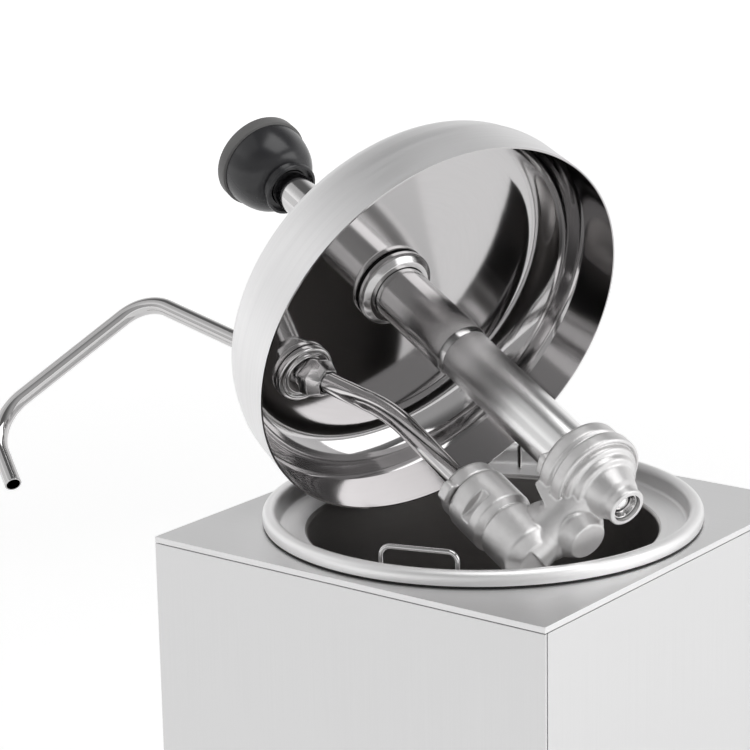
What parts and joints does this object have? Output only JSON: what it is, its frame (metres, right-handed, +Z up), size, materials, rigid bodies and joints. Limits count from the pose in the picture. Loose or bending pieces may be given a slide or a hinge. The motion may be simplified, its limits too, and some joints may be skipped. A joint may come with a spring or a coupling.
{
  "type": "cheese warmer dispenser",
  "caption": "Square counter-top cheese warmer with a lift-out pot in a heated water vessel and a hand pump with a lid and spout, leaned in the pot's mouth.",
  "frame": {"origin": "centre of the underside of the base plate, on its pressed-down middle; the feet reach 12 mm below it", "axes": "+Z up, -Y to the front panel with the controls, +X to the right as seen from the front"},
  "size_m": [0.3393, 0.235, 0.4044],
  "materials": {
    "brushed_sheet": "satin sheet with a fine straight grain",
    "polished_steel": "polished",
    "casting": "tumbled matte casting",
    "zinc_plate": "dull zinc plate",
    "black_plastic": "smooth moulded",
    "rubber": "matte",
    "glass_wool": "fibrous",
    "ceramic": "matte",
    "copper": "drawn",
    "amber_lens": "clear moulded"
  },
  "bodies": {
    "housing": {"base_plate": "zinc_plate", "body_wrap": "brushed_sheet", "front_panel": "brushed_sheet", "top_panel": "brushed_sheet", "foot_front_left": "rubber", "foot_front_right": "rubber", "foot_rear_left": "rubber", "foot_rear_right": "rubber", "foot_screw_front_left": "zinc_plate", "foot_screw_front_right": "zinc_plate", "foot_screw_rear_left": "zinc_plate", "foot_screw_rear_right": "zinc_plate", "thermostat_body": "ceramic", "thermostat_probe": "copper", "switch_housing": "black_plastic", "indicator_lamp": "amber_lens", "lamp_bezel": "black_plastic", "cable_gland": "black_plastic", "gland_locknut": "black_plastic", "terminal_block": "ceramic", "water_vessel": "brushed_sheet", "insulation_jacket": "glass_wool", "heater_plate": "zinc_plate", "heater_element": "ceramic", "clamp_bar": "zinc_plate", "clamp_nut": "zinc_plate", "thermal_cutout": "black_plastic", "rim_seal": "rubber"},
    "dial": {"thermostat_dial": "black_plastic", "thermostat_shaft": "zinc_plate"},
    "rocker": {"switch_rocker": "black_plastic"},
    "pot": {"pot": "brushed_sheet", "pot_handle_front": "polished_steel", "pot_handle_rear": "polished_steel"},
    "pump": {"lid": "polished_steel", "lid_lock_nut": "polished_steel", "lid_collar": "polished_steel", "collar_seal": "rubber", "cylinder_upper": "polished_steel", "cylinder_lower": "polished_steel", "top_collar": "polished_steel", "spring_seat": "zinc_plate", "return_spring": "zinc_plate", "main_lock_collar": "casting", "valve_body": "casting", "intake_seat": "polished_steel", "discharge_cap": "casting", "discharge_tube": "polished_steel", "spout_flange": "polished_steel", "spout_nut": "polished_steel", "spout_top_nut": "polished_steel", "spout_tube": "polished_steel"},
    "plunger": {"plunger_tube": "polished_steel", "knob": "black_plastic", "piston_rod": "zinc_plate", "piston": "zinc_plate", "piston_seal": "rubber"},
    "intake_valve": {"intake_ball": "polished_steel"},
    "discharge_valve": {"discharge_ball": "polished_steel"}
  },
  "joints": [
    {"name": "dial_turn", "type": "hinge", "parent": "housing", "child": "dial", "pos_m": [0.035, -0.1, 0.04], "axis": [0, 1, 0], "range_deg": [0, 270]},
    {"name": "rocker_tilt", "type": "hinge", "parent": "housing", "child": "rocker", "pos_m": [-0.035, -0.1013, 0.04], "axis": [-1, 0, 0], "range_deg": [0, 20]},
    {"name": "pot_lift", "type": "slide", "parent": "housing", "child": "pot", "axis": [0, 0, 1], "range_m": [0, 0.16]},
    {"name": "pump_lift", "type": "slide", "parent": "pot", "child": "pump", "axis": [0, 0, 1], "range_m": [0, 0.12]},
    {"name": "plunger_press", "type": "slide", "parent": "pump", "child": "plunger", "axis": [0.8867, -0.2796, -0.3681], "range_m": [0, 0.0244], "stiffness_N_per_m": 250, "springref_m": -0.03, "deforming": ["return_spring"]},
    {"name": "intake_ball_lift", "type": "slide", "parent": "pump", "child": "intake_valve", "axis": [-0.8867, 0.2796, 0.3681], "range_m": [0, 0.003]},
    {"name": "discharge_ball_lift", "type": "slide", "parent": "pump", "child": "discharge_valve", "axis": [-0.8867, 0.2796, 0.3681], "range_m": [0, 0.003]}
  ]
}
